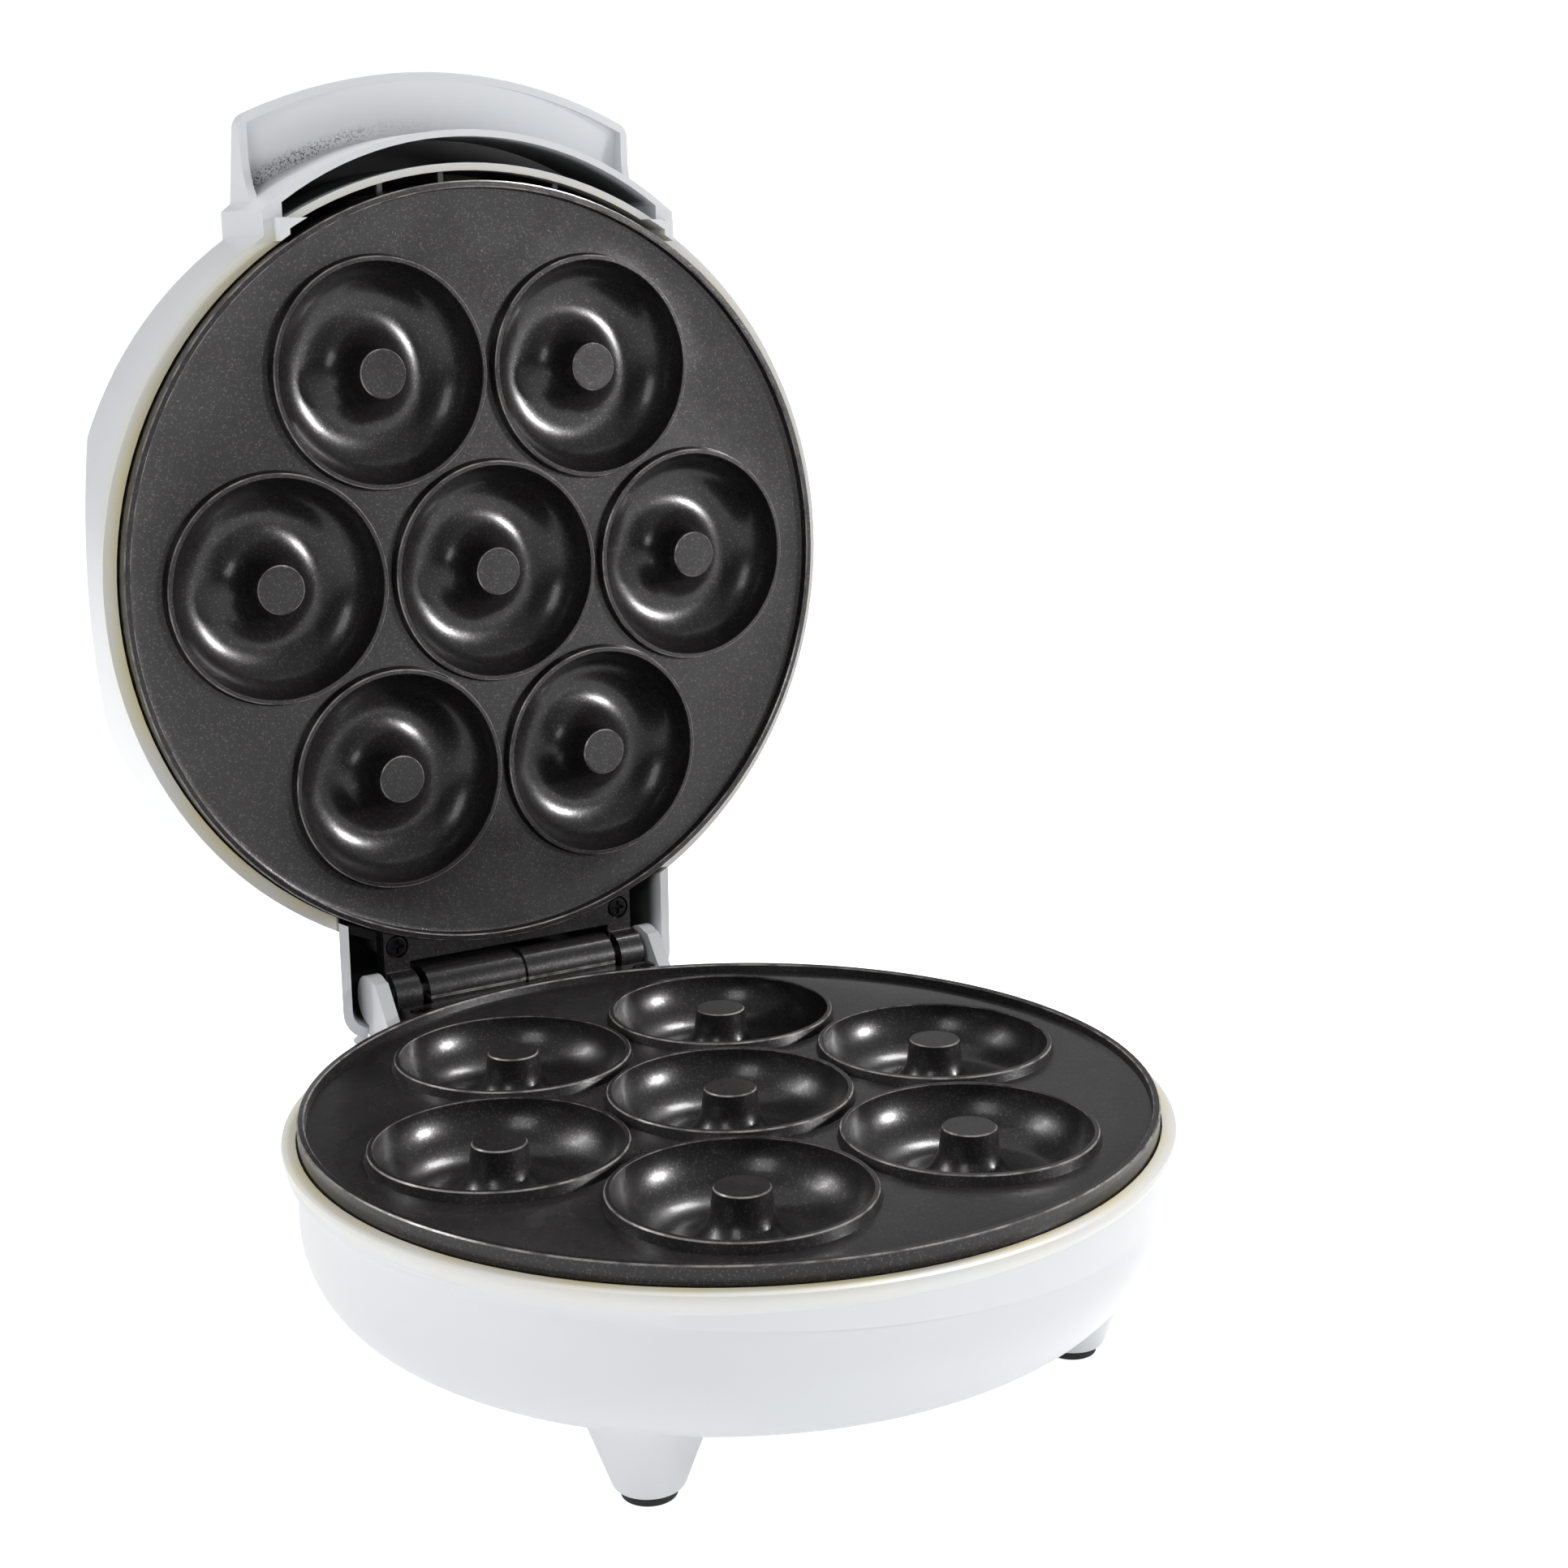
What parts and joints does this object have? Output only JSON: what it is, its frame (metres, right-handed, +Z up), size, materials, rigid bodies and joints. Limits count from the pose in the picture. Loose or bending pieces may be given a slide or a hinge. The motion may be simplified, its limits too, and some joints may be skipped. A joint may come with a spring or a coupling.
{
  "type": "donut maker",
  "caption": "Round electric donut maker with ring moulds in both plates, a hinged lid with a scoop handle and a bowl base on tapered legs.",
  "frame": {"origin": "bottom centre of the box round the open appliance, on the surface it stands on", "axes": "+Z up, -Y to the front where the handle comes down, +X to the right seen from the front, along the hinge"},
  "size_m": [0.2076, 0.2522, 0.2985],
  "materials": {
    "white_plastic": "moulded, satin gloss",
    "nonstick_coating": "sprayed non-stick coating with fine metal flake",
    "steel_pin": "drawn wire",
    "element_sheath": "heat-darkened steel tube",
    "steel_strip": "stamped strip",
    "aluminium_sheet": "pressed sheet",
    "plated_screws": "zinc plated",
    "black_screws": "black oxide",
    "thermostat_can": "pressed can",
    "fuse_sleeve": "glass-fibre sleeve",
    "terminal_ceramic": "unglazed",
    "wire_sleeve": "silicone and glass-fibre",
    "black_rubber": "moulded, matt",
    "red_lens": "clear tinted",
    "green_lens": "clear tinted",
    "board_laminate": "paper laminate"
  },
  "bodies": {
    "base": {"base_shell": "white_plastic", "lower_cooking_plate": "nonstick_coating", "hinge_pin": "steel_pin", "lower_heating_element": "element_sheath", "lower_element_clamps": "steel_strip", "lower_heat_shield": "aluminium_sheet", "lower_shield_screws": "plated_screws", "lower_plate_screws": "plated_screws", "lower_tab_screws": "black_screws", "thermostat": "thermostat_can", "thermal_fuse": "fuse_sleeve", "terminal_block": "terminal_ceramic", "base_wiring": "wire_sleeve", "inlet_plug": "black_rubber", "foot_pad_front_left": "black_rubber", "foot_pad_front_right": "black_rubber", "foot_pad_rear_left": "black_rubber", "foot_pad_rear_right": "black_rubber"},
    "lid": {"lid_shell": "white_plastic", "upper_cooking_plate": "nonstick_coating", "upper_heating_element": "element_sheath", "upper_element_clamps": "steel_strip", "upper_heat_shield": "aluminium_sheet", "upper_shield_screws": "plated_screws", "upper_tab_screws": "black_screws", "lid_wiring": "wire_sleeve", "power_lamp_lens": "red_lens", "ready_lamp_lens": "green_lens", "lamp_board": "board_laminate"}
  },
  "joints": [
    {"name": "lid_hinge", "type": "hinge", "parent": "base", "child": "lid", "pos_m": [0, 0.08815, 0.06], "axis": [1, 0, 0], "range_deg": [0, 90]}
  ]
}
